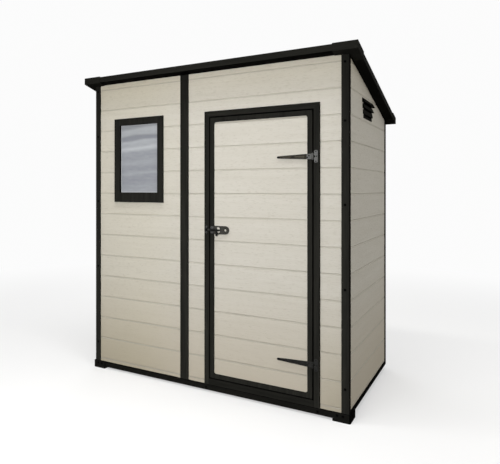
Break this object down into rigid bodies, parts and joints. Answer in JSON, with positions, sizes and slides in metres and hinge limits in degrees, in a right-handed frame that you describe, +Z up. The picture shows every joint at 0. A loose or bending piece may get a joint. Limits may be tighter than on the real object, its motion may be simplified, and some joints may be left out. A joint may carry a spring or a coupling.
{
  "type": "resin pent shed",
  "caption": "Walk-in garden shed of grooved resin boards with a single-slope roof, a side window, side vents and one outward opening door with strap hinges and a slide bolt.",
  "frame": {"origin": "on the ground, below the centre of the roof's outline", "axes": "+Z up, front with the door faces -Y, +X to the right of someone facing the door"},
  "size_m": [1.853, 1.098, 1.9978],
  "materials": {
    "wall_board": "matt beige resin with a fine wood grain",
    "door_board": "matt beige resin with a fine wood grain",
    "trim": "satin black-brown resin",
    "roof_board": "matt black-brown resin with a fine grain",
    "floor": "matt dark resin",
    "metal": "dark zinc and black coated steel",
    "pane": "grey-blue acrylic sheet"
  },
  "bodies": {
    "shed": {"floor_left": "floor", "floor_right": "floor", "base_feet": "trim", "base_rail_front": "trim", "base_rail_back": "trim", "base_rail_left": "trim", "base_rail_right": "trim", "post_front_left": "trim", "post_front_right": "trim", "post_back_left": "trim", "post_back_right": "trim", "mid_post_front": "trim", "mid_post_back": "trim", "front_wall_window": "wall_board", "front_wall_latch_side": "wall_board", "front_wall_hinge_side": "wall_board", "front_wall_over_door": "wall_board", "side_wall_left": "wall_board", "side_wall_right": "wall_board", "back_wall_left": "wall_board", "back_wall_right": "wall_board", "window_frame": "trim", "window_pane": "pane", "vent_left": "trim", "vent_right": "trim", "door_jamb_latch": "trim", "door_jamb_hinge": "trim", "door_head": "trim", "door_sill": "trim", "roof_boards_left": "roof_board", "roof_boards_right": "roof_board", "roof_trim_front": "trim", "roof_trim_back": "trim", "roof_trim_left": "trim", "roof_trim_right": "trim", "roof_caps": "trim", "hinge_butt_upper": "metal", "hinge_butt_lower": "metal", "latch_keeper": "metal"},
    "door": {"door_rim": "trim", "door_panel": "door_board", "hinge_strap_upper": "metal", "hinge_strap_lower": "metal", "latch_plate": "metal"},
    "bolt": {"latch_bolt": "metal"}
  },
  "joints": [
    {"name": "door_hinge", "type": "hinge", "parent": "shed", "child": "door", "pos_m": [0.67475, -0.507, 0.85], "axis": [0, 0, 1], "range_deg": [0, 165]},
    {"name": "bolt_slide", "type": "slide", "parent": "door", "child": "bolt", "axis": [-1, 0, 0], "range_m": [0, 0.014]}
  ]
}
